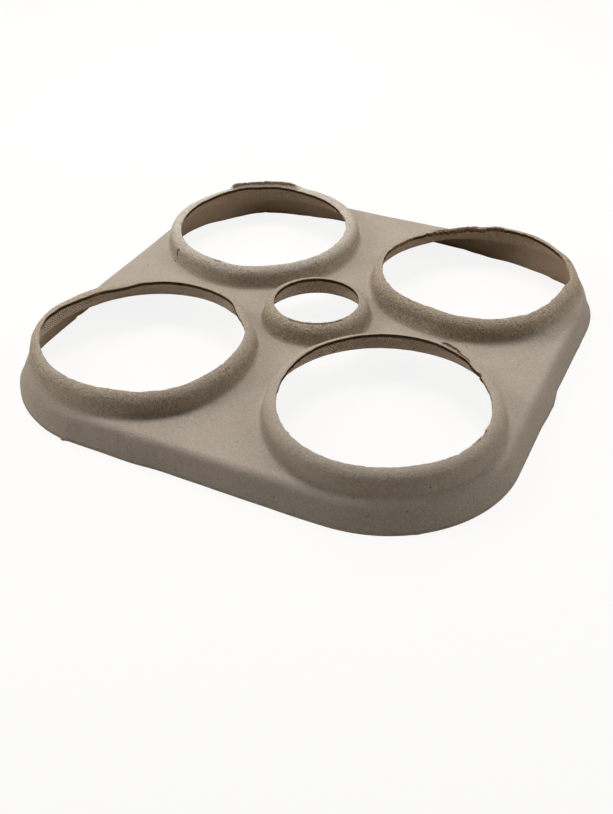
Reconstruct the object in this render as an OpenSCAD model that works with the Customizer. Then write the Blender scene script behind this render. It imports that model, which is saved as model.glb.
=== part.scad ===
// Cup carrier pressed from wet fibre: one thin shell, open underneath, with four
// raised collars for cups and a smaller one in the middle for a finger.
// Lengths are in millimetres, and slopes in degrees below the level. The origin
// is the middle of the foot, on the table, and +Z is up.

/* [Cup collars] */
// Diameter of a cup hole at its cut lip
cup_hole_d = 77; // [60:0.5:90]
// Height of a cup's lip above the deck
cup_collar_h = 8.5; // [7:0.5:15]

/* [Finger collar] */
// Diameter of the finger hole at its cut lip
finger_hole_d = 34.4; // [28:0.2:40]
// Height of the finger hole's lip above the deck
finger_collar_h = 7.8; // [7:0.1:15]

/* [Collar section] */
// Slope of a collar's crest where the hole is cut through it
lip_slope = 2; // [0:1:20]
// Rounding of a collar's shoulder, on the outside
shoulder_r = 4.6; // [4:0.2:6]
// Slope of a collar's wall below the shoulder
collar_slope = 78; // [60:1:84]
// Cove at the foot of a collar's wall, on the outside
cove_r = 2.2; // [1:0.1:4]

/* [Deck and skirt] */
// Height of the deck above the table
deck_h = 9.5; // [7:0.5:20]
// Flat deck between the finger collar and each cup collar
finger_gap = 3.1; // [1:0.1:10]
// Gentlest slope at the tray's corners, where a cove runs into the skirt's rounding
corner_slope = 20; // [5:1:45]
// Rounding where the deck turns down into the skirt, on the outside
edge_r = 3.6; // [2.6:0.1:4]
// Slope of the skirt below its rounding
skirt_slope = 65.5; // [60:0.5:80]

/* [Wall] */
// Thickness of the pressed fibre
wall = 1.4; // [0.8:0.1:2.4]

/* [Hidden] */
$fn = 128;
// Straight steps in one rounding of a section
arc_steps = 8;
// How far a cut runs past the faces that it goes through
cut_over = 1;

// Sections are drawn in a half plane: distance out from a hole's axis, and height.
// Moving a face in by a depth keeps the centres and changes only the radii.

// Points round a centre, from one slope to another, or inside out for a cove
function arc(centre, r, from, to) =
    [for (i = [0:arc_steps]) let (slope = from + (to - from) * i / arc_steps)
        centre + r * [sin(slope), cos(slope)]];

// Centre of the shoulder's rounding, set so that the lip has its height and slope
function shoulder_centre(hole_d, collar_h) =
    [hole_d / 2, deck_h + collar_h] - shoulder_r * [sin(lip_slope), cos(lip_slope)];

// Centre of the cove, which rests against the wall and leads into the skirt's rounding
function cove_centre(hole_d, collar_h) =
    let (wall_top = shoulder_centre(hole_d, collar_h) + shoulder_r * [sin(collar_slope), cos(collar_slope)],
         centre_h = deck_h - edge_r + (cove_r + edge_r) * cos(corner_slope),
         wall_r = wall_top.x + (wall_top.y - centre_h) / tan(collar_slope))
    [wall_r + cove_r / sin(collar_slope), centre_h];

// Radius of the ring where a collar's cove reaches the deck
function collar_reach(hole_d, collar_h) =
    let (centre = cove_centre(hole_d, collar_h))
    centre.x - sqrt(pow(cove_r, 2) - pow(centre.y - deck_h, 2));

cup_reach = collar_reach(cup_hole_d, cup_collar_h);
finger_reach = collar_reach(finger_hole_d, finger_collar_h);
// The cup collars stand round the finger collar, so it sets how far apart they are
cup_pitch = sqrt(2) * (cup_reach + finger_reach + finger_gap);
// The tray's corners are turned about the cup holes, so this is out from there
edge_centre = cove_centre(cup_hole_d, cup_collar_h)
    - (cove_r + edge_r) * [sin(corner_slope), cos(corner_slope)];
// Height inside the tray where the collars' sections stop
section_floor = deck_h / 2;

// Points down a collar, from its crown to the end of its cove
function collar_points(hole_d, collar_h, depth) =
    let (crown = shoulder_centre(hole_d, collar_h))
    concat([[0, crown.y + shoulder_r - depth]],
           arc(crown, shoulder_r - depth, 0, collar_slope),
           arc(cove_centre(hole_d, collar_h), -cove_r - depth, collar_slope, corner_slope));

// Points down the skirt, from where a cove runs into its rounding to its foot
function skirt_points(depth, floor_h) =
    let (rounding = arc(edge_centre, edge_r - depth, corner_slope, skirt_slope),
         end = rounding[arc_steps])
    concat(rounding, [[end.x + (end.y - floor_h) / tan(skirt_slope), floor_h]]);

// Collar on its own, its outer face moved in by a depth
module collar_section(hole_d, collar_h, depth) {
    points = collar_points(hole_d, collar_h, depth);
    polygon(concat([[0, section_floor]], points, [[points[len(points) - 1].x, section_floor]]));
}

// Cup collar and skirt together, as at a corner of the tray
module corner_section(depth, floor_h) {
    polygon(concat([[0, floor_h]], collar_points(cup_hole_d, cup_collar_h, depth),
                   skirt_points(depth, floor_h)));
}

// Deck and skirt, as along a side of the tray
module side_section(depth, floor_h) {
    polygon(concat([[0, floor_h], [0, deck_h - depth]],
                   arc(edge_centre, edge_r - depth, 0, corner_slope),
                   skirt_points(depth, floor_h)));
}

// Puts its children on the axis of each cup hole, with +X and +Y outwards
module at_cups() {
    for (turn = [0:90:270]) rotate(turn) translate([cup_pitch / 2, cup_pitch / 2, 0]) children();
}

// Solid block that the carrier would be if it weren't hollow, moved in by a depth
module pressed_form(depth, floor_h) {
    translate([-cup_pitch / 2, -cup_pitch / 2, floor_h])
        cube([cup_pitch, cup_pitch, deck_h - depth - floor_h]);
    at_cups() {
        rotate_extrude(angle = 90) corner_section(depth, floor_h);
        rotate([90, 0, 0]) linear_extrude(height = cup_pitch) side_section(depth, floor_h);
        rotate(90) rotate_extrude(angle = 270) collar_section(cup_hole_d, cup_collar_h, depth);
    }
    rotate_extrude() collar_section(finger_hole_d, finger_collar_h, depth);
}

// Hole cut down through a collar's crest
module punched_hole(hole_d, collar_h) {
    translate([0, 0, section_floor + cut_over]) cylinder(d = hole_d, h = deck_h + collar_h);
}

// The carrier: the block, less the same block moved in by the wall, less the holes
module cup_carrier() {
    color([0.66, 0.61, 0.55])
    difference() {
        pressed_form(0, 0);
        pressed_form(wall, -cut_over);
        at_cups() punched_hole(cup_hole_d, cup_collar_h);
        punched_hole(finger_hole_d, finger_collar_h);
    }
}

cup_carrier();
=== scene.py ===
"""Used cup carrier of pressed fibre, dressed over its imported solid.

The shell is laid out flat as rings, bands and a deck, pressed to its height, given
its wall, and then worn: holes cut off their marks, rims out of round, a dented
corner, torn and burred lips. Sizes are in millimetres and bearings in degrees from
+X, and the finished shell is brought to metres.
"""

import logging
import math
from collections.abc import Callable
from dataclasses import dataclass, field
from enum import Enum, IntEnum

import bpy
import numpy as np
from mathutils import Matrix, Vector, noise


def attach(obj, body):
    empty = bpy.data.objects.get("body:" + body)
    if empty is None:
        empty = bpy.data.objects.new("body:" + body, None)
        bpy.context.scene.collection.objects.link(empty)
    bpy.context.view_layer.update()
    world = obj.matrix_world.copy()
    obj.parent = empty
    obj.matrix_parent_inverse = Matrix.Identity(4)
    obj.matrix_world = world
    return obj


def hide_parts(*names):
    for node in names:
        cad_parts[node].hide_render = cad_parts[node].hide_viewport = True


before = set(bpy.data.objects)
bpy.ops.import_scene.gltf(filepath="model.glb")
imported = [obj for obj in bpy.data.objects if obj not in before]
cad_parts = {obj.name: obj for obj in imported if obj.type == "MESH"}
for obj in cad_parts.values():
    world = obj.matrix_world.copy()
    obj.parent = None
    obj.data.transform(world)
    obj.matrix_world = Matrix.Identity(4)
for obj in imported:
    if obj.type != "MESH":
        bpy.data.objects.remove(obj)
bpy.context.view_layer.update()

MM = 0.001
NODE = "cup_carrier"
BODY = "root"
TORN_MASK = "torn"
TORN_TONE = "torn_tone"
# Fuzzy fibre on the collars, which also sets the felt's painted warm shade there.
FUZZ_MASK = "fuzz"
# Painted shade on the cut faces, darkest on each hole's far side, over dark cut fibre.
CUT_SHADE_MASK = "cut_shade"
SCREEN_MASK = "screened"
# Painted highlight on the back collar's crest, fading down its wall.
CREST_HIGHLIGHT_MASK = "pale"
PRINT_MAP = "print"
LIP_EASE = 0.12
TOUCH = 0.02
TINY = 1e-6
LAYER_STEP = (37.1, 11.3, 5.7)
SHORT_BURR = 7

log = logging.getLogger("cup_carrier")


class Face(Enum):
    """Kinds of surface on the shell, in the order of its material slots."""

    FELT = 0
    SCREEN = 1
    CUT = 2


class Layer(IntEnum):
    """Sets of unevenness, each with its own lumps. Rims take the numbers below these."""

    TEAR_END = 21
    TEAR_SIDE = 22
    TEAR_TOP = 23
    LONG_SWAY = 31
    SHORT_SWAY = 32
    DIMPLE = 33
    TUFT = 34
    FIBRE = 35


def smooth_step(low: float, high: float, value: np.ndarray) -> np.ndarray:
    """Ease from 0 to 1 between two limits.

    Args:
        low: Value at which the result leaves 0.
        high: Value at which the result reaches 1.
        value: Values to ease.

    Returns:
        The eased values.
    """
    share = np.clip((np.asarray(value, float) - low) / (high - low), 0.0, 1.0)
    return share * share * (3.0 - 2.0 * share)


def lumps(places: np.ndarray, size: float, layer: int) -> np.ndarray:
    """Smooth unevenness at some places, between about -1 and 1.

    Args:
        places: Places, one row each.
        size: Distance over which it changes.
        layer: Number that sets one unevenness apart from another.

    Returns:
        One value for each place.
    """
    start = Vector([layer * step for step in LAYER_STEP])
    return np.array([noise.noise(Vector(place) / size + start) for place in places.tolist()])


@dataclass(frozen=True)
class Course:
    """A length that changes round a hole or round the tray, eased between knots.

    Each knot is a bearing, then the length there, and the knots are in order.
    """

    knots: tuple[tuple[float, float], ...]

    def at(self, bearing: np.ndarray) -> np.ndarray:
        """Length at some bearings.

        Args:
            bearing: Bearings, in any turn.

        Returns:
            One length for each bearing.
        """
        places = np.array([knot[0] for knot in self.knots])
        values = np.array([knot[1] for knot in self.knots])
        places = np.concatenate([[places[-1] - 360.0], places, [places[0] + 360.0]])
        values = np.concatenate([values[-1:], values, values[:1]])
        bearing = np.mod(bearing, 360.0)
        high = np.clip(np.searchsorted(places, bearing, side="right"), 1, len(places) - 1)
        share = smooth_step(0.0, 1.0, (bearing - places[high - 1]) / (places[high] - places[high - 1]))
        return values[high - 1] + (values[high] - values[high - 1]) * share


LEVEL = Course(((0.0, 0.0), (180.0, 0.0)))


@dataclass(frozen=True)
class Bite:
    """A nick in a cut edge or, where its depth is negative, a nib on it."""

    bearing: float
    width: float
    depth: float

    def at(self, bearing: np.ndarray) -> np.ndarray:
        """Depth at some bearings."""
        off = np.mod(bearing - self.bearing + 180.0, 360.0) - 180.0
        return self.depth * np.exp(-((off / self.width) ** 2))


def ragged(start: float, end: float, count: int, depth: float, seed: int) -> tuple[Bite, ...]:
    """Random nicks and nibs along a torn lip.

    Args:
        start: Bearing at which they begin.
        end: Bearing at which they end.
        count: How many there are.
        depth: The deepest.
        seed: Seed of the random numbers.

    Returns:
        The nicks and nibs.
    """
    dice = np.random.default_rng(seed)
    return tuple(Bite(float(dice.uniform(start, end)), float(dice.uniform(0.45, 1.1)),
                      float(dice.uniform(-depth, depth))) for _ in range(count))


@dataclass(frozen=True)
class Tear:
    """Torn fibre along a lip, between two bearings and two distances out from the lip.

    Its tone runs from 0, dark, to 1, pale. Past its bare distance it keeps the felt's
    colour. Its ends and sides are frayed, in degrees and in millimetres.
    """

    start: float
    end: float
    near: float
    far: float
    height: float
    start_fade: float
    end_fade: float
    rag: float = 0.35
    tone: float = 0.3
    bare: float = 9.0
    bare_fade: tuple[float, float] = (-0.7, 0.3)
    end_rag: float = 1.2
    end_lump: float = 0.9
    side_lump: float = 0.8
    near_fade: tuple[float, float] = (-0.3, 0.5)
    far_fade: float = 0.7

    def share(self, bearing: np.ndarray, beyond: np.ndarray, places: np.ndarray) -> np.ndarray:
        """How much of the surface is torn, from 0 to 1.

        Args:
            bearing: Bearings round the hole.
            beyond: Distances out from the lip.
            places: Places, for the ragged outline.

        Returns:
            One share for each place.
        """
        along = np.mod(bearing - self.start + 90.0, 360.0) - 90.0
        along = along + self.end_rag * lumps(places, self.end_lump, Layer.TEAR_END)
        ends = smooth_step(0.0, self.start_fade, along)
        ends = ends * smooth_step(0.0, self.end_fade, self.end - self.start - along)
        beyond = beyond + self.rag * lumps(places, self.side_lump, Layer.TEAR_SIDE)
        band = smooth_step(self.near + self.near_fade[0], self.near + self.near_fade[1], beyond)
        return ends * band * (1.0 - smooth_step(self.far - self.far_fade, self.far, beyond))


@dataclass(frozen=True)
class RimWear:
    """What the punch and use have done to one collar.

    The rim is shifted outwards and lifted, the hole is cut off its mark, and the hem, the
    cove inside, is fuller or leaner. The burr's two lumps are lengths along the lip. Fuzz,
    screen and pale are shares from 0 to 1, for the finishes: fuzz also sets the painted warm
    shade on the felt, and pale is a painted highlight on the crest.
    """

    shift: Course
    cut: Course = LEVEL
    lift: Course = LEVEL
    hem: Course = LEVEL
    bites: tuple[Bite, ...] = ()
    tears: tuple[Tear, ...] = ()
    layer: int = 0
    burr: float = 0.2
    burr_share: float = 0.8
    burr_lumps: tuple[float, float] = (3.6, 1.4)
    fuzz: float = 1.0
    screen: float = 1.0
    pale: float = 0.0
    ramp: Course = LEVEL
    ramp_slope: float = 59.0

    def cut_at(self, bearing: np.ndarray) -> np.ndarray:
        """How far off its mark the hole is cut, outwards, with its nicks."""
        return self.cut.at(bearing) + sum(bite.at(bearing) for bite in self.bites)

    def burr_at(self, bearing: np.ndarray, radius: float) -> np.ndarray:
        """Burrs along the lip, in millimetres.

        Args:
            bearing: Bearings round the hole.
            radius: Radius of the lip.

        Returns:
            How far the lip strays outwards.
        """
        angle = np.radians(bearing)
        ring = np.stack([np.cos(angle), np.sin(angle), np.zeros_like(angle)], axis=-1) * radius
        long_lumps = lumps(ring, self.burr_lumps[0], self.layer)
        short_lumps = lumps(ring, self.burr_lumps[1], self.layer + SHORT_BURR)
        return self.burr * (self.burr_share * long_lumps + self.burr_share * short_lumps)


@dataclass(frozen=True)
class Collar:
    """One raised collar: its hole, its section and its wear."""

    centre: tuple[float, float]
    hole_r: float
    lip_h: float
    steps: int
    wear: RimWear
    crest_steps: int = 12
    wall_steps: int = 7
    cove_steps: int = 6
    lip_slope: float = 2.0
    shoulder_r: float = 4.6
    land_r: float = 12.0
    wall_slope: float = 78.0
    cove_r: float = 2.2
    deck_h: float = 9.5
    burr_reach: float = 1.3
    ramp_start: tuple[float, float] = (41.6, 16.0)
    ramp_blend: float = 0.6
    ramp_fade_in: tuple[float, float] = (-0.6, 0.9)
    ramp_fade_out: tuple[float, float] = (46.2, 49.4)

    @property
    def shoulder(self) -> tuple[float, float]:
        """Centre of the shoulder's rounding.

        Returns:
            Distance out, and height.
        """
        slope = math.radians(self.lip_slope)
        return (self.hole_r - self.shoulder_r * math.sin(slope),
                self.lip_h - self.shoulder_r * math.cos(slope))

    @property
    def wall_foot(self) -> float:
        """Place where the wall, run straight on, meets the deck.

        Returns:
            Distance out.
        """
        slope = math.radians(self.wall_slope)
        out, height = self.shoulder
        out += self.shoulder_r * math.sin(slope)
        height += self.shoulder_r * math.cos(slope)
        return out + (height - self.deck_h) / math.tan(slope)

    @property
    def reach(self) -> float:
        """Distance out at which the cove ends on the deck."""
        return self.wall_foot + self.cove_r * math.tan(math.radians(self.wall_slope / 2))

    def rise(self, out: np.ndarray) -> np.ndarray:
        """Height of the collar above the deck.

        Args:
            out: Distances from the hole's axis.

        Returns:
            Heights above the deck, 0 past the cove.
        """
        slope = math.radians(self.wall_slope)
        crown_out, crown_h = self.shoulder
        beyond = out - crown_out
        crest = crown_h + np.sqrt(np.maximum(self.shoulder_r ** 2 - beyond ** 2, 0.0))
        land_h = crown_h + self.shoulder_r - self.land_r
        land = land_h + np.sqrt(np.maximum(self.land_r ** 2 - beyond ** 2, 0.0))
        wall = self.deck_h + (self.wall_foot - out) * math.tan(slope)
        cove_h = self.deck_h + self.cove_r
        cove = cove_h - np.sqrt(np.maximum(self.cove_r ** 2 - (self.reach - out) ** 2, 0.0))
        height = np.where(beyond < 0.0, land, crest)
        height = np.where(beyond > self.shoulder_r * math.sin(slope), wall, height)
        height = np.where(out > self.reach - self.cove_r * math.sin(slope), cove, height)
        return np.where(out >= self.reach, 0.0, height - self.deck_h)

    def ramped(self, out: np.ndarray, bearing: np.ndarray, height: np.ndarray) -> np.ndarray:
        """Fill the ledge at the collar's foot, where the wall runs on down into the skirt.

        Args:
            out: Distances from the hole's axis.
            bearing: Bearings round the hole.
            height: Heights of the surface there.

        Returns:
            The heights with the ramp worked in.
        """
        start_out, start_h = self.ramp_start
        ramp = start_h - (out - start_out) * math.tan(math.radians(self.wear.ramp_slope))
        raised = 0.5 * (height + ramp + np.sqrt((height - ramp) ** 2 + self.ramp_blend)) - height
        begin, full = self.ramp_fade_in
        raised *= (smooth_step(start_out + begin, start_out + full, out)
                   * (1.0 - smooth_step(*self.ramp_fade_out, out)))
        return height + raised * self.wear.ramp.at(bearing)

    def rings(self) -> list[float]:
        """Space the mesh's rings evenly down the section.

        Returns:
            Their distances out, from the lip to where the cove reaches the deck.
        """
        crown_out, _ = self.shoulder
        turn = np.radians(np.linspace(self.lip_slope, self.wall_slope, self.crest_steps + 1))
        crest = crown_out + self.shoulder_r * np.sin(turn)
        turn = np.radians(np.linspace(self.wall_slope, 0.0, self.cove_steps + 1))
        cove = self.reach - self.cove_r * np.sin(turn)
        wall = np.linspace(crest[-1], cove[0], self.wall_steps + 1)
        return [self.hole_r, self.hole_r + LIP_EASE, *crest[1:], *wall[1:-1], *cove[:-1]]

    def polar(self, x: np.ndarray, y: np.ndarray) -> tuple[np.ndarray, np.ndarray]:
        """Place seen from the hole's axis.

        Args:
            x: Places along X.
            y: Places along Y.

        Returns:
            Distance out, and bearing.
        """
        across, up = x - self.centre[0], y - self.centre[1]
        return np.hypot(across, up), np.degrees(np.arctan2(up, across))

    def punched(self, flat: np.ndarray) -> np.ndarray:
        """Draw the flat layout in or out to where the hole was really cut.

        Args:
            flat: Places in the flat layout.

        Returns:
            Places with the rings between the lip and the deck spread anew.
        """
        places = flat.copy()
        out, bearing = self.polar(flat[:, 0], flat[:, 1])
        near = out < self.reach
        out, bearing = out[near], bearing[near]
        cut = self.wear.cut_at(bearing)
        room = self.reach - self.hole_r
        drawn = self.hole_r + cut + (out - self.hole_r) * (room - cut) / room
        hold = 1.0 - smooth_step(0.0, self.burr_reach, out - self.hole_r)
        drawn = drawn + hold * self.wear.burr_at(bearing, self.hole_r)
        angle = np.radians(bearing)
        places[near, 0] = self.centre[0] + drawn * np.cos(angle)
        places[near, 1] = self.centre[1] + drawn * np.sin(angle)
        return places


@dataclass(frozen=True)
class Skirt:
    """The turned-down edge: steeper along the sides than round the corners.

    Edges are distances out from the square that joins the cup holes. Round the tray, the
    foot strays outwards, and the bead thickens it on the inside.
    """

    pitch_half: float = 50.011
    deck_h: float = 9.5
    edge_r: float = 3.6
    side_slope: float = 66.0
    corner_slope: float = 60.0
    side_edge: float = 46.45
    corner_edge: float = 45.2
    corner_blend: float = 28.0
    row_shares: tuple[float, ...] = (0.15, 0.29, 0.41, 0.53, 0.65, 0.77, 0.88, 1.0)
    nib_power: int = 14
    bead_power: int = 2
    stray: Course = Course((
        (0.0, -0.2), (2.0, -0.8), (12.0, -0.65), (27.0, -0.5), (37.0, -0.1), (41.0, -0.8), (44.7, -1.8),
        (49.2, -3.4), (55.5, -4.3), (65.0, -4.2), (69.7, -3.2), (73.0, -2.2), (82.0, -1.6), (95.0, -0.4),
        (109.5, -0.2), (116.0, -1.4), (119.0, -2.1), (130.0, -1.8), (135.0, -3.0), (139.0, -3.2),
        (145.0, -2.2), (151.0, -1.8), (170.0, -0.6), (188.0, 0.0), (200.0, 0.0), (209.0, -0.4),
        (217.0, -0.2), (224.0, -0.95), (232.0, -0.9), (241.0, -0.4), (247.0, -0.2), (256.0, 0.15),
        (263.0, -0.5), (270.0, -0.3), (284.0, 0.05), (292.0, 0.25), (300.0, 0.0), (336.0, 0.0),
        (348.0, -0.05), (353.0, 0.4), (357.5, 0.3)))
    bead: Course = Course((
        (0.0, 0.0), (30.0, 0.0), (44.7, 0.7), (49.2, 1.3), (57.0, 2.1), (65.0, 1.8), (69.7, 1.4), (73.0, 1.0),
        (82.0, 0.7), (110.0, 0.3), (119.0, 1.0), (130.0, 0.8), (139.0, 1.3), (145.0, 0.9), (151.0, 0.7),
        (175.0, 0.0), (270.0, 0.0)))
    nibs: tuple[Bite, ...] = (Bite(241.7, 0.5, 0.9), Bite(275.3, 0.35, 0.7), Bite(356.0, 0.5, 0.5),
                              Bite(311.0, 0.3, 0.4), Bite(20.0, 0.4, 0.6), Bite(128.0, 0.5, 0.6),
                              Bite(196.0, 0.4, 0.7))

    def out(self, x: np.ndarray, y: np.ndarray) -> tuple[np.ndarray, np.ndarray]:
        """Distance out from the square that joins the cup holes, and a corner's share.

        Args:
            x: Places along X.
            y: Places along Y.

        Returns:
            Distance out, and 0 on a side to 1 in the middle of a corner.
        """
        along = np.maximum(np.abs(x) - self.pitch_half, 0.0)
        across = np.maximum(np.abs(y) - self.pitch_half, 0.0)
        turn = np.degrees(np.arctan2(across, along))
        turn = np.where((along == 0) | (across == 0), 0.0, np.minimum(turn, 90.0 - turn))
        return np.hypot(along, across), smooth_step(0.0, self.corner_blend, turn)

    def drop(self, x: np.ndarray, y: np.ndarray) -> np.ndarray:
        """Height of the surface against the deck, from the edge's rounding outwards.

        Args:
            x: Places along X.
            y: Places along Y.

        Returns:
            Heights against the deck, 0 on the deck and negative on the skirt.
        """
        out, corner = self.out(x, y)
        slope = np.radians(self.side_slope + (self.corner_slope - self.side_slope) * corner)
        edge = self.side_edge + (self.corner_edge - self.side_edge) * corner
        centre = edge - self.edge_r * np.tan(slope / 2)
        turned = np.clip(out - centre, 0.0, self.edge_r * np.sin(slope))
        rounding = np.sqrt(self.edge_r ** 2 - turned ** 2) - self.edge_r
        straight = -(out - edge) * np.tan(slope)
        return np.where(out - centre > self.edge_r * np.sin(slope), straight, rounding)

    def foot_rings(self, start: float) -> list[float]:
        """Space the skirt's rows from a start to the foot.

        Args:
            start: Distance out at which the rows begin.

        Returns:
            Distances out, of which the last is the foot's.
        """
        foot = self.side_edge + self.deck_h / math.tan(math.radians(self.side_slope))
        return list(start + np.array(self.row_shares) * (foot - start))

    def dent(self, x: np.ndarray, y: np.ndarray, low: np.ndarray) -> tuple[np.ndarray, np.ndarray]:
        """How far the skirt has strayed, and how far its inside stands in from that.

        Args:
            x: Places along X.
            y: Places along Y.
            low: Shares from 0 on the deck to 1 at the foot.

        Returns:
            Two sets of plan vectors, rows of X and Y.
        """
        along = np.sign(x) * np.maximum(np.abs(x) - self.pitch_half, 0.0)
        across = np.sign(y) * np.maximum(np.abs(y) - self.pitch_half, 0.0)
        length = np.maximum(np.hypot(along, across), TINY)
        bearing = np.degrees(np.arctan2(y, x))
        nibs = sum(nib.at(bearing) for nib in self.nibs)
        stray = self.stray.at(bearing) * low + nibs * low ** self.nib_power
        bead = self.bead.at(bearing) * low ** self.bead_power
        outwards = np.stack([along, across], axis=-1) / length[:, None]
        return outwards * stray[:, None], -outwards * bead[:, None]


def front_collar(half: float, steps: int) -> Collar:
    """Collar nearest the camera: cut back to its middle, with a splinter on its far lip.

    Args:
        half: Half the distance between two cup holes.
        steps: Steps round the hole.

    Returns:
        The collar, in its place.
    """
    wear = RimWear(
        shift=Course(((0, 0.0), (45, -0.4), (62, 0.0), (90, 0.8), (110, 0.9), (150, 0.4), (190, -0.3),
                      (250, 0.5), (300, -0.3), (340, 0.2))),
        cut=Course(((0, -0.4), (20, -0.9), (45, -1.1), (54, -0.9), (62, 0.0), (90, 0.45), (110, 0.55),
                    (150, 0.1), (190, -0.6), (220, -0.4), (250, -0.1), (300, -0.5), (335, -0.2))),
        lift=Course(((0, 0.3), (180, 0.3))),
        hem=Course(((0, -0.2), (20, -0.5), (35, -0.95), (75, -0.95), (100, -0.5), (150, -0.4), (200, 0.0))),
        bites=(Bite(45.8, 0.8, 0.7), Bite(331, 1.6, 0.35), Bite(352, 2.0, 0.3), Bite(262, 2.5, -0.25),
               Bite(284, 1.5, 0.25), Bite(236, 1.0, -0.3)),
        # The first tear is the splinter: its dark reaches 2.8 mm out over the shadow it casts, painted shadow
        # over torn fibre.
        tears=(Tear(61, 80.5, 0.8, 2.8, 1.3, 11.0, 2.0, 0.25, 0.05),
               Tear(52, 72, 0.2, 1.2, 0.5, 9.0, 6.0, 0.25, 0.05),
               Tear(340, 358, -1.0, 0.8, 0.1, 4.0, 5.0, 0.6, 0.6),
               Tear(41, 49, -1.0, 0.8, 0.3, 3.0, 2.0, 0.3, 0.1), Tear(318, 330, -1.0, 0.5, 0.1, 4.0, 4.0)),
        layer=1, fuzz=0.22, screen=0.85,
        ramp=Course(((0, 0.0), (180, 0.0), (272, 0.0), (300, 0.25), (330, 0.25), (350, 0.0))))
    return Collar((half, -half), 38.5, 18.0, steps, wear)


def left_collar(half: float, steps: int) -> Collar:
    """Collar at the left: pushed out of round at its outer side.

    Args:
        half: Half the distance between two cup holes.
        steps: Steps round the hole.

    Returns:
        The collar, in its place.
    """
    wear = RimWear(
        shift=Course(((0, 0.1), (25, 0.3), (45, -0.4), (62, 0.3), (100, -0.3), (125, -0.3), (140, -0.1),
                      (152, 1.2), (165, 1.8), (180, 2.9), (190, 2.5), (200, 1.9), (211, 1.15), (222, 0.4),
                      (236, 0.0), (260, -0.6), (288, -0.5), (302, 0.7), (322, 1.0), (340, 0.4))),
        cut=Course(((0, 0.0), (22, 0.3), (46, -0.7), (61, 0.3), (85, 0.1), (107, 0.0), (122, -0.9),
                    (136, -2.4), (150, -2.2), (160, -2.2), (170, -1.6), (180, -0.75), (190, 0.3),
                    (200, 0.45), (211, 0.25), (236, 0.0), (275, -0.3), (300, 0.1), (322, 0.4), (340, 0.0))),
        hem=Course(((0, 0.0), (28, 0.1), (42, 1.1), (58, 1.1), (90, 0.2), (200, 0.0))),
        bites=(Bite(351.3, 0.7, 0.5), Bite(283, 2.0, -0.3), Bite(258, 1.2, 0.3), Bite(312, 2.5, 0.3)),
        tears=(Tear(350.4, 351.9, -1.0, 3.2, -0.2, 0.8, 0.8, 0.2, 0.25),
               Tear(150, 160, -1.0, 0.5, 0.1, 3.0, 3.0)),
        layer=2, burr=0.13, fuzz=0.6, screen=1.0,
        ramp=Course(((0, 0.0), (150, 0.0), (178, 0.3), (205, 0.9), (235, 0.8), (262, 0.25), (285, 0.0))))
    return Collar((-half, -half), 38.5, 18.0, steps, wear)


def right_collar(half: float, steps: int) -> Collar:
    """Collar at the right: its far lip is torn ragged and lies low.

    Args:
        half: Half the distance between two cup holes.
        steps: Steps round the hole.

    Returns:
        The collar, in its place.
    """
    wear = RimWear(
        shift=Course(((0, -0.6), (10, 0.5), (20, 0.7), (30, 0.7), (38, 1.1), (50, 0.6), (60, 1.0), (70, 1.3),
                      (80, 0.7), (90, 0.1), (105, -0.9), (125, -1.0), (145, -0.9), (160, -1.2), (175, -0.6),
                      (190, -0.2), (222, 0.2), (260, -1.0), (280, 0.2), (297, 1.4), (320, 1.1), (335, 0.1),
                      (345, -0.7))),
        cut=Course(((0, -0.2), (10, 0.4), (30, 0.3), (40, -0.2), (50, 0.2), (60, -0.3), (70, -0.6),
                    (80, -0.4), (90, -0.1), (105, -0.6), (125, -0.5), (145, -0.6), (160, -0.4), (190, 0.3),
                    (300, 0.3), (340, 0.2))),
        lift=Course(((0, 0.24), (84, 0.2), (92, 0.0), (105, -1.0), (125, -1.7), (145, -1.0), (160, -0.2),
                     (190, 0.24))),
        hem=Course(((0, 0.0), (120, 0.0), (142, 0.9), (185, 0.9), (210, 0.0))),
        bites=(Bite(33.7, 0.8, -0.5), Bite(262, 2.2, -0.3), Bite(318, 3.0, 0.3),
               *ragged(86, 146, 26, 0.75, 5)),
        tears=(Tear(84, 146, -1.0, 0.9, 0.35, 8.0, 8.0, 1.5, 0.22),
               Tear(104, 121, 0.4, 2.4, 0.5, 5.0, 3.0, 0.7, 0.16),
               Tear(124, 136, 0.6, 2.0, 0.4, 3.0, 4.0, 0.7, 0.2),
               Tear(84, 140, 1.6, 4.2, 0.5, 10.0, 8.0, 1.2, 0.9),
               Tear(30, 37, 1.0, 2.6, 0.6, 2.0, 2.0, 0.35, 0.8),
               Tear(150, 182, -1.0, 0.5, 0.0, 6.0, 6.0)),
        layer=3, burr=0.26, screen=0.06, ramp_slope=52.0,
        ramp=Course(((0, 0.95), (45, 0.9), (75, 0.4), (95, 0.0), (285, 0.0), (305, 0.4), (325, 0.9))))
    return Collar((half, half), 38.5, 18.0, steps, wear)


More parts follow.
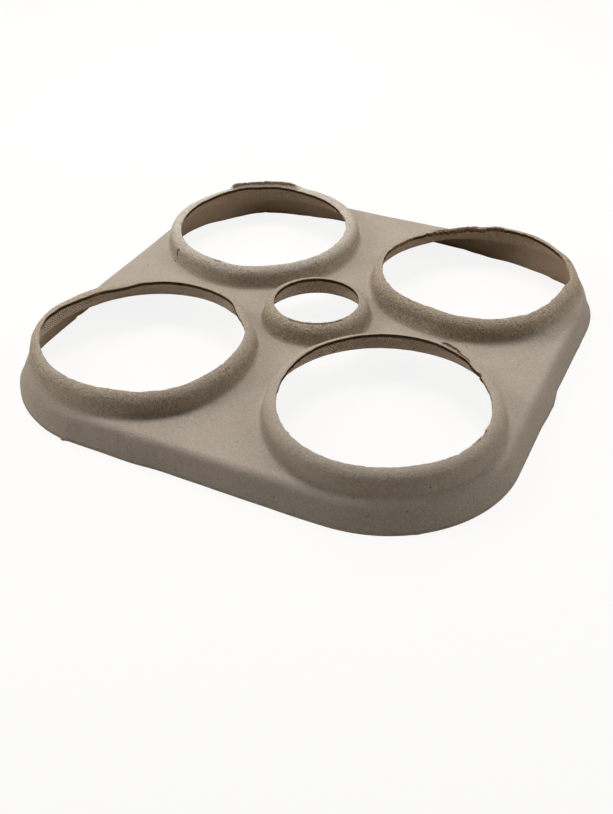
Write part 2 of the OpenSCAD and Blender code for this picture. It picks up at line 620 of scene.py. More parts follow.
def back_collar(half: float, steps: int) -> Collar:
    """Collar at the back: cut towards the camera, with a torn flap on its far crest.

    Args:
        half: Half the distance between two cup holes.
        steps: Steps round the hole.

    Returns:
        The collar, in its place.
    """
    wear = RimWear(
        shift=Course(((0, -0.2), (20, -0.2), (40, 0.2), (60, 0.4), (80, 0.3), (100, 0.5), (120, 0.6),
                      (142, 0.8), (160, 0.5), (180, 0.7), (200, 0.6), (220, 0.1), (250, -0.2), (270, 0.3),
                      (283, 0.9), (300, 0.5), (330, 0.0))),
        cut=Course(((0, -0.4), (20, -1.0), (30, -1.5), (40, -2.4), (60, -2.7), (80, -2.6), (90, -2.3),
                    (100, -1.4), (110, -0.7), (120, -1.0), (130, -0.4), (142, -0.9), (170, -1.4),
                    (180, -1.6), (200, -1.3), (210, -0.8), (225, -0.2), (240, 0.2), (260, 0.3), (283, 0.6),
                    (300, 0.5), (330, 0.5), (345, 0.1))),
        bites=(Bite(270, 2.0, -0.3), Bite(205, 1.0, 0.3)),
        tears=(Tear(88, 141.5, 0.4, 4.4, 2.2, 13.0, 2.5, 0.25, 0.24, 2.2),
               Tear(262, 270, -1.0, 1.1, 0.1, 3.0, 3.0, 0.5, 0.4),
               Tear(232.4, 233.7, 3.5, 6.4, -0.1, 0.4, 0.4, 0.12, 0.1)),
        # pale paints a highlight on this collar's crest.
        layer=4, fuzz=0.7, screen=0.1, pale=1.0,
        ramp=Course(((0, 0.0), (85, 0.0), (110, 0.5), (160, 0.5), (185, 0.0))))
    return Collar((-half, half), 38.5, 18.0, steps, wear)


def finger_collar(steps: int) -> Collar:
    """Small collar in the middle, with a crack along its near crest.

    Args:
        steps: Steps round the hole.

    Returns:
        The collar, in the middle of the tray.
    """
    wear = RimWear(
        shift=Course(((0, 0.0), (90, 0.1), (180, 0.0), (270, -0.1))),
        hem=Course(((0, 0.0), (40, 0.9), (60, 1.6), (150, 1.5), (175, 1.1), (200, 0.0))),
        tears=(Tear(280, 318, -1.0, 0.5, 0.1, 5.0, 5.0, 0.5),
               Tear(252, 336, 0.25, 1.5, -0.12, 8.0, 8.0, 0.3, 0.3)),
        layer=5, burr=0.14, fuzz=0.85, screen=0.7)
    return Collar((0.0, 0.0), 17.2, 17.3, steps, wear, crest_steps=9, wall_steps=5, cove_steps=5)


def all_collars(cup_steps: int = 300, finger_steps: int = 160) -> tuple[Collar, ...]:
    """Make every collar.

    Args:
        cup_steps: Steps round each cup hole.
        finger_steps: Steps round the finger hole.

    Returns:
        The four cup collars, then the finger collar.
    """
    makers = (front_collar, left_collar, right_collar, back_collar)
    return (*(make(Skirt.pitch_half, cup_steps) for make in makers), finger_collar(finger_steps))


@dataclass(frozen=True)
class Unevenness:
    """One layer of lumps: their size, their height, and what fuzzy fibre adds to that."""

    layer: Layer
    size: float
    height: float
    fuzzy: float = 0.0

    def at(self, places: np.ndarray, fuzz: np.ndarray) -> np.ndarray:
        """Heights at some places.

        Args:
            places: Places, one row each.
            fuzz: How fuzzy the fibre is there, from 0 to 1.

        Returns:
            One height for each place.
        """
        return (self.height + self.fuzzy * fuzz) * lumps(places, self.size, self.layer)


@dataclass
class PressedShell:
    """The whole tray as one mesh: laid out flat, pressed, walled and worn.

    Fades are pairs of limits between which something comes or goes: a collar's are
    counted from its reach, a crest's from its hole, and a rim's from the deck.
    """

    wall: float = 1.4
    side_steps: int = 48
    corner_land: float = 1.0
    edge_cuts: int = 6
    edge_cut_start: float = -2.9
    edge_cut_step: float = 0.55
    cut_gap: float = 0.002
    merge_gap: float = 0.003
    # Cut faces are painted in shade, darkest at this bearing of each hole where they turn away from the
    # lamps, fading by these limits.
    shaded_cut: float = 118.0
    cut_shade_fade: tuple[float, float] = (62.0, 98.0)
    collar_fade: tuple[float, float] = (-2.6, -0.4)
    # The crest's painted highlight fades out between these distances from the hole and dims down the wall.
    crest_fade: tuple[float, float] = (2.2, 4.4)
    wall_dimming: float = 0.55
    rim_fade: tuple[float, float] = (-0.2, 5.0)
    tear_reach: float = 7.5
    tear_top: tuple[float, float] = (0.9, 0.25)
    tear_lump: float = 1.7
    lip_tear: float = 0.3
    hem_reach: float = 3.0
    hem_middle: float = 2.3
    hem_width: float = 1.9
    hem_way: tuple[float, float] = (0.5, 0.87)
    rough_fade: float = 2.0
    smooth_foot: float = 1.2
    sway: tuple[Unevenness, ...] = (Unevenness(Layer.LONG_SWAY, 42.0, 0.22),
                                    Unevenness(Layer.SHORT_SWAY, 17.0, 0.1))
    roughness: tuple[Unevenness, ...] = (Unevenness(Layer.DIMPLE, 5.5, 0.05),
                                         Unevenness(Layer.TUFT, 2.6, 0.02, 0.05),
                                         Unevenness(Layer.FIBRE, 1.2, 0.01, 0.035))
    skirt: Skirt = field(default_factory=Skirt)
    collars: tuple[Collar, ...] = field(default_factory=all_collars)

    @property
    def cups(self) -> tuple[Collar, ...]:
        """The four cup collars."""
        return self.collars[:4]

    def build(self) -> bpy.types.Object:
        """Model the shell from its layout to its worn shape.

        Returns:
            The finished shell, in metres, at the origin.
        """
        shell = self.lay_out()
        log.info("layout: %d faces", len(shell.data.polygons))
        flat = self.read(shell)
        pressed = self.pressed(flat)
        self.write(shell, pressed)
        self.add_wall(shell)
        self.trim_cuts(shell, flat, pressed)
        self.mark(shell, flat)
        self.write(shell, self.worn(shell, flat, pressed))
        self.map_print(shell)
        shell.data.transform(Matrix.Scale(MM, 4))
        for polygon in shell.data.polygons:
            polygon.use_smooth = True
        return shell

    def lay_out(self) -> bpy.types.Object:
        """Draw the shell flat: rings round the holes, skirt rows, sides and deck.

        Returns:
            The flat layout, all at height 0, with one layer of faces.
        """
        bpy.ops.object.select_all(action="DESELECT")
        first = self.collars[0]
        bpy.ops.mesh.primitive_circle_add(vertices=first.steps, radius=first.rings()[0],
                                          location=(*first.centre, 0.0), fill_type="NOTHING")
        shell = bpy.context.object
        shell.name = "pressed_shell"
        bpy.ops.object.transform_apply(location=True, rotation=True, scale=True)
        bpy.ops.object.mode_set(mode="EDIT")
        bpy.ops.mesh.select_mode(type="EDGE")
        bpy.ops.mesh.select_all(action="SELECT")
        for collar in self.collars:
            if collar is not first:
                bpy.ops.mesh.select_all(action="DESELECT")
                bpy.ops.mesh.primitive_circle_add(vertices=collar.steps, radius=collar.rings()[0],
                                                  location=(*collar.centre, 0.0), fill_type="NOTHING")
            self.grow_rings(collar.centre, collar.rings())
        start = first.rings()[-1]
        side_start = start + self.corner_land
        rows = [start, side_start] + self.skirt.foot_rings(side_start)
        for collar in self.cups:
            self.select_edges(lambda a, b, c=collar: self.on_corner_arc(c, a, b, start))
            self.grow_rings(collar.centre, rows)
        for turn in range(4):
            self.select_edges(lambda a, b, t=turn: self.on_corner_end(a, b, t, side_start))
            bpy.ops.mesh.bridge_edge_loops(number_cuts=self.side_steps - 1, interpolation="LINEAR")
        self.fill_deck(start)
        bpy.ops.object.mode_set(mode="OBJECT")
        return shell

    @staticmethod
    def grow_rings(centre: tuple[float, float], rings: list[float]) -> None:
        """Extrude the selected ring outwards, ring by ring.

        Args:
            centre: Place of the hole's axis.
            rings: Distances out, of which the first is the selected ring's.
        """
        for inner, outer in zip(rings, rings[1:]):
            bpy.ops.mesh.extrude_region_move()
            bpy.ops.transform.resize(value=(outer / inner, outer / inner, 1.0),
                                     center_override=(centre[0], centre[1], 0.0))

    @staticmethod
    def select_edges(wanted: Callable[[Vector, Vector], bool]) -> None:
        """Select the open edges whose two ends pass a test, and nothing else.

        Args:
            wanted: Takes the two ends' places and says whether the edge is taken.
        """
        bpy.ops.mesh.select_all(action="DESELECT")
        bpy.ops.mesh.select_non_manifold(extend=False, use_wire=False, use_boundary=True,
                                         use_multi_face=False, use_non_contiguous=False, use_verts=False)
        bpy.ops.object.mode_set(mode="OBJECT")
        mesh = bpy.context.object.data
        chosen = [edge.index for edge in mesh.edges if edge.select
                  and wanted(mesh.vertices[edge.vertices[0]].co, mesh.vertices[edge.vertices[1]].co)]
        for group in (mesh.vertices, mesh.edges, mesh.polygons):
            group.foreach_set("select", [False] * len(group))
        for index in chosen:
            mesh.edges[index].select = True
            for end in mesh.edges[index].vertices:
                mesh.vertices[end].select = True
        bpy.ops.object.mode_set(mode="EDIT")

    @staticmethod
    def on_corner_arc(collar: Collar, a: Vector, b: Vector, reach: float) -> bool:
        """Say whether an edge lies on a collar's outermost ring, on the tray's corner.

        Args:
            collar: The collar.
            a: One end of the edge.
            b: Its other end.
            reach: Distance out of the ring.

        Returns:
            True where both ends do.
        """
        for end in (a, b):
            across, up = end.x - collar.centre[0], end.y - collar.centre[1]
            if abs(math.hypot(across, up) - reach) > TOUCH:
                return False
            if across * math.copysign(1, collar.centre[0]) < -TOUCH:
                return False
            if up * math.copysign(1, collar.centre[1]) < -TOUCH:
                return False
        return True

    def on_corner_end(self, a: Vector, b: Vector, turn: int, start: float) -> bool:
        """Say whether an edge is on the open end of a corner's skirt, on one side.

        Args:
            a: One end of the edge.
            b: Its other end.
            turn: The side, as quarter turns from the front.
            start: Distance out at which the open end begins.

        Returns:
            True where both ends are.
        """
        side = Matrix.Rotation(math.radians(90 * turn), 3, "Z")
        for end in (a, b):
            place = side @ end
            if abs(abs(place.x) - self.skirt.pitch_half) > TOUCH:
                return False
            if place.y > -self.skirt.pitch_half - start + TOUCH:
                return False
        return True

    def fill_deck(self, reach: float) -> None:
        """Close the deck between the collars and the sides, and cut it into cells.

        Args:
            reach: Distance out of the cup collars' outermost rings.
        """
        lips = [(c.centre, c.hole_r) for c in self.collars]
        foot = self.skirt.foot_rings(reach + self.corner_land)[-1] - TOUCH

        def on_deck(a: Vector, b: Vector) -> bool:
            """Say whether an open edge bounds the deck.

            Args:
                a: One end of the edge.
                b: Its other end.

            Returns:
                True where no end is on a lip or on the foot.
            """
            for end in (a, b):
                if any(math.hypot(end.x - c[0], end.y - c[1]) < r + TOUCH for c, r in lips):
                    return False
                out, _ = self.skirt.out(np.array(end.x), np.array(end.y))
                if float(out) > foot:
                    return False
            return True

        self.select_edges(on_deck)
        bpy.ops.mesh.fill(use_beauty=True)
        bpy.ops.mesh.select_mode(type="FACE")
        bpy.ops.mesh.hide(unselected=True)
        side = self.skirt.pitch_half
        cuts = [-side + 2.0 * side * i / self.side_steps for i in range(self.side_steps + 1)]
        first = side + self.skirt.side_edge + self.edge_cut_start
        rounding = [first + self.edge_cut_step * i for i in range(self.edge_cuts)]
        cuts += rounding + [-place for place in rounding]
        for place in cuts:
            for normal in ((1.0, 0.0, 0.0), (0.0, 1.0, 0.0)):
                bpy.ops.mesh.select_all(action="SELECT")
                bpy.ops.mesh.bisect(plane_co=(place, place, 0.0), plane_no=normal, threshold=self.cut_gap)
        bpy.ops.mesh.reveal(select=False)
        bpy.ops.mesh.select_mode(type="VERT")
        bpy.ops.mesh.select_all(action="SELECT")
        bpy.ops.mesh.remove_doubles(threshold=self.merge_gap)
        bpy.ops.mesh.normals_make_consistent(inside=False)
        bpy.ops.object.mode_set(mode="OBJECT")
        upside_down = bpy.context.object.data.polygons[0].normal.z < 0
        bpy.ops.object.mode_set(mode="EDIT")
        if upside_down:
            bpy.ops.mesh.flip_normals()

    @staticmethod
    def read(shell: bpy.types.Object) -> np.ndarray:
        """Read the places of a mesh's vertices.

        Args:
            shell: The object whose mesh is read.

        Returns:
            Its places, one row each.
        """
        places = np.empty(len(shell.data.vertices) * 3)
        shell.data.vertices.foreach_get("co", places)
        return places.reshape(-1, 3)

    @staticmethod
    def write(shell: bpy.types.Object, places: np.ndarray) -> None:
        """Put a mesh's vertices at new places.

        Args:
            shell: The object whose mesh is moved.
            places: The new places, one row each.
        """
        shell.data.vertices.foreach_set("co", places.ravel())
        shell.data.update()

    def on_lip(self, flat: np.ndarray) -> np.ndarray:
        """Find the places of the flat layout that lie on a hole's lip.

        Args:
            flat: Places in the flat layout.

        Returns:
            True for each place on a lip.
        """
        lip = np.zeros(len(flat), bool)
        for collar in self.collars:
            out, _ = collar.polar(flat[:, 0], flat[:, 1])
            lip |= np.abs(out - collar.hole_r) < TOUCH
        return lip

    def pressed(self, flat: np.ndarray) -> np.ndarray:
        """Raise the flat layout to the pressed form, cut where the holes really are.

        Args:
            flat: Places in the flat layout.

        Returns:
            The same places on the outer face, before it is worn.
        """
        places = flat.copy()
        for collar in self.collars:
            places = collar.punched(places)
        height = self.skirt.deck_h + self.skirt.drop(places[:, 0], places[:, 1])
        for collar in self.collars:
            out, _ = collar.polar(places[:, 0], places[:, 1])
            height = height + collar.rise(out)
        for collar in self.cups:
            height = collar.ramped(*collar.polar(places[:, 0], places[:, 1]), height)
        places[:, 2] = np.maximum(height, 0.0)
        return places

    def add_wall(self, shell: bpy.types.Object) -> None:
        """Give the outer face its wall, with the inner face and the cut edges apart.

        Args:
            shell: The pressed outer face.
        """
        for kind in Face:
            shell.data.materials.append(bpy.data.materials.new(kind.name.lower()))
        wall = shell.modifiers.new("wall", "SOLIDIFY")
        wall.thickness = self.wall
        wall.offset = -1.0
        wall.use_even_offset = True
        wall.material_offset = Face.SCREEN.value
        wall.material_offset_rim = Face.CUT.value
        bpy.ops.object.modifier_apply(modifier=wall.name)

    def trim_cuts(self, shell: bpy.types.Object, flat: np.ndarray, pressed: np.ndarray) -> None:
        """Make the lips' cut faces upright, ease their outer edges, and level the foot.

        Args:
            shell: The shell with its wall.
            flat: Places in the flat layout.
            pressed: Places on the outer face, whose copies are the inner face.
        """
        places = self.read(shell)
        count = len(flat)
        outer, inner = places[:count], places[count:2 * count]
        lip = self.on_lip(flat)
        inner[lip, :2] = pressed[lip, :2]
        inner[lip, 2] = pressed[lip, 2] - self.wall
        outer[lip, 2] -= LIP_EASE
        sunk = inner[:, 2] < 0.0
        slope = math.tan(math.radians(self.skirt.side_slope))
        away = pressed[sunk, :2] - inner[sunk, :2]
        away /= np.maximum(np.hypot(away[:, 0], away[:, 1]), TINY)[:, None]
        inner[sunk, :2] -= away * (-inner[sunk, 2] / slope)[:, None]
        inner[sunk, 2] = 0.0
        self.write(shell, places)

    def torn(self, flat: np.ndarray) -> tuple[np.ndarray, np.ndarray, np.ndarray]:
        """Share of torn fibre, its tone and the height at which it stands.

        Args:
            flat: Places in the flat layout.

        Returns:
            Shares from 0 to 1, tones from 0 to 1, and heights.
        """
        share, tone, height = np.zeros(len(flat)), np.zeros(len(flat)), np.zeros(len(flat))
        for collar in self.collars:
            out, bearing = collar.polar(flat[:, 0], flat[:, 1])
            near = out < collar.hole_r + self.tear_reach
            beyond = out[near] - collar.hole_r
            for tear in collar.wear.tears:
                found = tear.share(bearing[near], beyond, flat[near])
                begin, end = tear.bare_fade
                seen = found * (1.0 - smooth_step(tear.bare + begin, tear.bare + end, beyond))
                tone[near] = np.where(seen > share[near], tear.tone, tone[near])
                share[near] = np.maximum(share[near], seen)
                top = self.tear_top[0] + self.tear_top[1] * lumps(flat[near], self.tear_lump, Layer.TEAR_TOP)
                height[near] += found * tear.height * top
        return share, tone, height

    def mark(self, shell: bpy.types.Object, flat: np.ndarray) -> None:
        """Store where the fibre is torn, fuzzy or printed, and the painted shade and highlight, for the
        finishes.

        Args:
            shell: The shell with its wall.
            flat: Places in the flat layout.
        """
        share, tone, _ = self.torn(flat)
        fuzz, cut_shade, screen, pale = (np.zeros(len(flat)) for _ in range(4))
        for collar in self.collars:
            out, bearing = collar.polar(flat[:, 0], flat[:, 1])
            begin, end = self.collar_fade
            near = 1.0 - smooth_step(collar.reach + begin, collar.reach + end, out)
            # Fuzz also sets how much painted warm shade the felt takes.
            fuzz = np.maximum(fuzz, near * collar.wear.fuzz)
            screen = np.maximum(screen, near * collar.wear.screen)
            # Painted highlight on the crest, dimmed down the wall.
            begin, end = self.crest_fade
            crest = 1.0 - self.wall_dimming * smooth_step(collar.hole_r + begin, collar.hole_r + end, out)
            pale = np.maximum(pale, near * crest * collar.wear.pale)
            # Painted shade on the cut faces, darkest at the bearing that turns them away from the lamps.
            turned = np.abs(np.mod(bearing - self.shaded_cut + 180.0, 360.0) - 180.0)
            cut_shade = np.maximum(cut_shade, near * (1.0 - smooth_step(*self.cut_shade_fade, turned)))
        for name, values in ((TORN_MASK, share), (TORN_TONE, tone), (FUZZ_MASK, fuzz),
                             (CUT_SHADE_MASK, cut_shade), (SCREEN_MASK, screen), (CREST_HIGHLIGHT_MASK, pale)):
            layer = shell.data.attributes.new(name, "FLOAT", "POINT")
            layer.data.foreach_set("value", np.concatenate([values, values]))

    def worn(self, shell: bpy.types.Object, flat: np.ndarray, pressed: np.ndarray) -> np.ndarray:
        """Move the walled shell as the mould and use have moved the real one.

        Args:
            shell: The shell with its wall.
            flat: Places in the flat layout.
            pressed: Places on the outer face, whose copies are the inner face.

        Returns:
            The worn places.
        """
        count = len(flat)
        normals = np.empty(len(shell.data.vertices) * 3)
        shell.data.vertex_normals.foreach_get("vector", normals)
        normals = normals.reshape(-1, 3)[:count]
        move = np.zeros((count, 3))
        deck_h = self.skirt.deck_h
        high = smooth_step(deck_h + self.rim_fade[0], deck_h + self.rim_fade[1], pressed[:, 2])
        fuzz = np.zeros(count)
        inside = np.zeros((count, 3))
        for collar in self.collars:
            out, bearing = collar.polar(flat[:, 0], flat[:, 1])
            near = out < collar.reach + self.hem_reach
            angle = np.radians(bearing[near])
            off_middle = (out[near] - collar.reach + self.hem_middle) / self.hem_width
            hem = collar.wear.hem.at(bearing[near]) * np.exp(-off_middle ** 2)
            inside[near, 0] -= self.hem_way[0] * hem * np.cos(angle)
            inside[near, 1] -= self.hem_way[0] * hem * np.sin(angle)
            inside[near, 2] -= self.hem_way[1] * hem
            shift = collar.wear.shift.at(bearing[near]) * high[near]
            move[near, 0] += shift * np.cos(angle)
            move[near, 1] += shift * np.sin(angle)
            move[near, 2] += collar.wear.lift.at(bearing[near]) * high[near]
            fuzz = np.maximum(fuzz, 1.0 - smooth_step(collar.reach - self.rough_fade, collar.reach, out))
        low = 1.0 - smooth_step(0.0, deck_h, pressed[:, 2])
        stray, bead = self.skirt.dent(flat[:, 0], flat[:, 1], low)
        move[:, :2] += stray
        inside[:, :2] += bead
        sway = sum(part.at(pressed, fuzz) for part in self.sway)
        move[:, 2] += sway * smooth_step(0.0, deck_h, pressed[:, 2])
        rough = sum(part.at(pressed, fuzz) for part in self.roughness)
        rough *= smooth_step(0.0, self.smooth_foot, pressed[:, 2])
        move += normals * rough[:, None]
        _, _, torn_height = self.torn(flat)
        lip = self.on_lip(flat)
        places = self.read(shell)
        places[:count] += move
        places[count:2 * count] += move + inside
        places[:count, 2] += np.where(lip, self.lip_tear, 1.0) * torn_height
        places[:, 2] = np.maximum(places[:, 2], 0.0)
        return places

    def map_print(self, shell: bpy.types.Object) -> None:
        """Lay a map of real lengths over the shell, round each collar and across the deck.

        Args:
            shell: The worn shell, still in millimetres.
        """
        mesh = shell.data
        places = self.read(shell)
        corner_place = np.empty(len(mesh.loops), np.int64)
        mesh.loops.foreach_get("vertex_index", corner_place)
        sizes = np.empty(len(mesh.polygons), np.int64)
        mesh.polygons.foreach_get("loop_total", sizes)
        centres = np.empty(len(mesh.polygons) * 3)
        mesh.polygons.foreach_get("center", centres)
        centres = np.repeat(centres.reshape(-1, 3), sizes, axis=0)
        corner = places[corner_place]
        chart = corner[:, :2].copy()
        for collar in self.collars:
            middle_out, middle = collar.polar(centres[:, 0], centres[:, 1])
            _, bearing = collar.polar(corner[:, 0], corner[:, 1])
            bearing = middle + np.mod(bearing - middle + 180.0, 360.0) - 180.0
            near = middle_out < collar.reach
            chart[near, 0] = np.radians(bearing[near]) * collar.wall_foot
            chart[near, 1] = corner[near, 2]
        layer = mesh.uv_layers.new(name=PRINT_MAP)
        layer.data.foreach_set("uv", (chart * MM).ravel())


class Graph:
    """A node tree with short ways to add and join its nodes."""

    def __init__(self, tree: bpy.types.NodeTree) -> None:
        """Keep the tree."""
        self.tree = tree

    def node(self, kind: str, **settings: object) -> bpy.types.Node:
        """Add a node.

        Args:
            kind: The node's type.
            settings: Properties to set on it.

        Returns:
            The new node.
        """
        made = self.tree.nodes.new(kind)
        for name, value in settings.items():
            setattr(made, name, value)
        return made

    def feed(self, socket: bpy.types.NodeSocket, value: object) -> None:
        """Join another socket to a socket, or set its value.

        Args:
            socket: The input to feed.
            value: A socket, or a plain value.
        """
        if isinstance(value, bpy.types.NodeSocket):
            self.tree.links.new(value, socket)
        else:
            socket.default_value = value

    def math(self, operation: str, first: object, second: object = 0.0) -> bpy.types.NodeSocket:
        """Work out a value from two others.

        Args:
            operation: What is done with them.
            first: A socket or a number.
            second: Another.

        Returns:
            The result's socket.
        """
        made = self.node("ShaderNodeMath", operation=operation)
        self.feed(made.inputs[0], first)
        self.feed(made.inputs[1], second)
        return made.outputs[0]

    def spread(self, value: object, low: float, high: float, start: float = 0.0,
               end: float = 1.0) -> bpy.types.NodeSocket:
        """Map a value smoothly from one range to another.

        Args:
            value: A socket or a number.
            low: Value that gives the start.
            high: Value that gives the end.
            start: The first result.
            end: The last result.

        Returns:
            The result's socket.
        """
        made = self.node("ShaderNodeMapRange", interpolation_type="SMOOTHSTEP")
        for place, item in enumerate((value, low, high, start, end)):
            self.feed(made.inputs[place], item)
        return made.outputs[0]

    def grain(self, place: object, size: float, detail: float = 1.0) -> bpy.types.NodeSocket:
        """Add noise with a mean of about half.

        Args:
            place: Socket of the places.
            size: Size of its lumps, in metres.
            detail: How much finer noise is laid over it.

        Returns:
            The noise's socket.
        """
        made = self.node("ShaderNodeTexNoise")
        self.feed(made.inputs["Vector"], place)
        self.feed(made.inputs["Scale"], 1.0 / size)
        self.feed(made.inputs["Detail"], detail)
        return made.outputs["Fac"]

    def mix(self, share: object, first: object, second: object) -> bpy.types.NodeSocket:
        """Mix two colours.

        Args:
            share: Share of the second, as a socket or a number.
            first: A colour or its socket.
            second: Another.

        Returns:
            The mixed colour's socket.
        """
        made = self.node("ShaderNodeMix", data_type="RGBA")
        self.feed(made.inputs[0], share)
        self.feed(made.inputs[6], first)
        self.feed(made.inputs[7], second)
        return made.outputs[2]

    def own(self, name: str) -> bpy.types.NodeSocket:
        """Read one of the shell's own masks."""
        return self.node("ShaderNodeAttribute", attribute_name=name).outputs["Fac"]

    def place(self) -> bpy.types.NodeSocket:
        """Read the place on the object."""
        return self.node("ShaderNodeTexCoord").outputs["Object"]

    def group(self, tree: bpy.types.NodeTree, **values: object) -> bpy.types.Node:
        """Place a shared group and feed its inputs by name.

        Args:
            tree: The group.
            values: Sockets or numbers for its inputs.

        Returns:
            The group's node.
        """
        made = self.node("ShaderNodeGroup", node_tree=tree)
        for name, value in values.items():
            self.feed(made.inputs[name.capitalize()], value)
        return made


def new_group(name: str, inputs: dict[str, float], outputs: dict[str, str]) -> tuple[Graph, dict, dict]:
    """Start a shader group with named sockets.

    Args:
        name: The group's name.
        inputs: Its float inputs, with their values.
        outputs: Its outputs, with their socket types.

    Returns:
        The group's graph, its inputs inside, and its outputs inside.
    """
    tree = bpy.data.node_groups.new(name, "ShaderNodeTree")
    for label, value in inputs.items():
        socket = tree.interface.new_socket(label, in_out="INPUT", socket_type="NodeSocketFloat")
        socket.default_value = value
    for label, kind in outputs.items():
        tree.interface.new_socket(label, in_out="OUTPUT", socket_type=kind)
    graph = Graph(tree)
    inside = graph.node("NodeGroupInput").outputs
    outside = graph.node("NodeGroupOutput").inputs
    return graph, {label: inside[label] for label in inputs}, {label: outside[label] for label in outputs}


@dataclass(frozen=True)
class Lumps:
    """One size of lumps in the pulp, and what they do to its tone and its relief."""

    size: float
    detail: float
    tone: float
    relief: float = 0.0


FIBRE = Lumps(0.55 * MM, 2.0, 1.1, 0.75)
TUFT = Lumps(1.4 * MM, 2.0, 0.28, 0.6)
CLOUD = Lumps(9.0 * MM, 3.0, 0.16)
DRIFT = Lumps(50.0 * MM, 2.0, 0.16)
SPECK_CELL = 2.4 * MM
SPECK_SIZE = 0.125
SPECK_LEAST = 0.3
FRAY = 0.7 * MM
FRAY_SHARE = 0.9
FRAY_FADE = (0.38, 0.6)
TORN_LEAST = 0.02
STREAK = 0.45 * MM
STREAK_FADE = (0.34, 0.66)
# Dark torn fibre, which on the front splinter also paints its shadow.
DARK_TEAR_AND_SHADOW = ((0.035, 0.017, 0.008, 1), (0.18, 0.098, 0.045, 1))
PALE_TEAR = ((0.2, 0.135, 0.088, 1), (0.46, 0.36, 0.275, 1))


@dataclass(frozen=True)
class PulpGroups:
    """The shader groups that the pulp's finishes share."""

    grain: bpy.types.NodeTree
    specks: bpy.types.NodeTree
    torn: bpy.types.NodeTree

    @classmethod
    def build(cls) -> "PulpGroups":
        """Make the three groups once."""
        return cls(cls.make_grain(), cls.make_specks(), cls.make_torn())

    @staticmethod
    def make_grain() -> bpy.types.NodeTree:
        """Fibre grain: a tone about 1 from lumps of four sizes, and a relief from the two finest.

        Returns:
            The group.
        """
        graph, given, result = new_group(
            "fibre_grain", {"Contrast": 1.0, "Clouds": 1.0},
            {"Tone": "NodeSocketFloat", "Height": "NodeSocketFloat"})
        place = graph.place()
        noises = [graph.grain(place, part.size, part.detail) for part in (FIBRE, TUFT, CLOUD, DRIFT)]
        fibre, tuft, cloud, drift = (
            graph.math("MULTIPLY", graph.math("SUBTRACT", made, 0.5), part.tone)
            for made, part in zip(noises, (FIBRE, TUFT, CLOUD, DRIFT)))
        pulp = graph.math("MULTIPLY", graph.math("ADD", fibre, tuft), given["Contrast"])
        clouds = graph.math("MULTIPLY", graph.math("ADD", cloud, drift), given["Clouds"])
        graph.feed(result["Tone"], graph.math("ADD", graph.math("ADD", pulp, clouds), 1.0))
        relief = graph.math("ADD", graph.math("MULTIPLY", noises[0], FIBRE.relief),
                            graph.math("MULTIPLY", noises[1], TUFT.relief))
        graph.feed(result["Height"], relief)
        return graph.tree

    @staticmethod
    def make_specks() -> bpy.types.NodeTree:
        """Sparse dark flecks of foreign fibre.

        Returns:
            The group.
        """
        graph, given, result = new_group("dark_specks", {"Size": SPECK_SIZE, "Share": 0.1},
                                         {"Mask": "NodeSocketFloat"})
        cell = graph.node("ShaderNodeTexVoronoi")
        graph.feed(cell.inputs["Vector"], graph.place())
        graph.feed(cell.inputs["Scale"], 1.0 / SPECK_CELL)
        tint = graph.node("ShaderNodeSeparateColor")
        graph.feed(tint.inputs[0], cell.outputs["Color"])
        chosen = graph.math("LESS_THAN", tint.outputs[0], given["Share"])
        reach = graph.math("MULTIPLY", given["Size"], graph.math("ADD", tint.outputs[1], SPECK_LEAST))
        dot = graph.math("LESS_THAN", cell.outputs["Distance"], reach)
        graph.feed(result["Mask"], graph.math("MULTIPLY", chosen, dot))
        return graph.tree

    @staticmethod
    def make_torn() -> bpy.types.NodeTree:
        """Torn fibre: where it lies, its colour and its streaks.

        Returns:
            The group.
        """
        graph, _, result = new_group("torn_fibre", {}, {
            "Mask": "NodeSocketFloat", "Color": "NodeSocketColor", "Height": "NodeSocketFloat"})
        place = graph.place()
        where = graph.own(TORN_MASK)
        fray = graph.math("SUBTRACT", graph.grain(place, FRAY, 3.0), 0.5)
        frayed = graph.math("ADD", where, graph.math("MULTIPLY", fray, FRAY_SHARE))
        some = graph.math("GREATER_THAN", where, TORN_LEAST)
        graph.feed(result["Mask"], graph.math("MULTIPLY", graph.spread(frayed, *FRAY_FADE), some))
        streak = graph.grain(place, STREAK, 3.0)
        share = graph.spread(streak, *STREAK_FADE)
        dark, pale = graph.mix(share, *DARK_TEAR_AND_SHADOW), graph.mix(share, *PALE_TEAR)
        graph.feed(result["Color"], graph.mix(graph.own(TORN_TONE), dark, pale))
        graph.feed(result["Height"], streak)
        return graph.tree


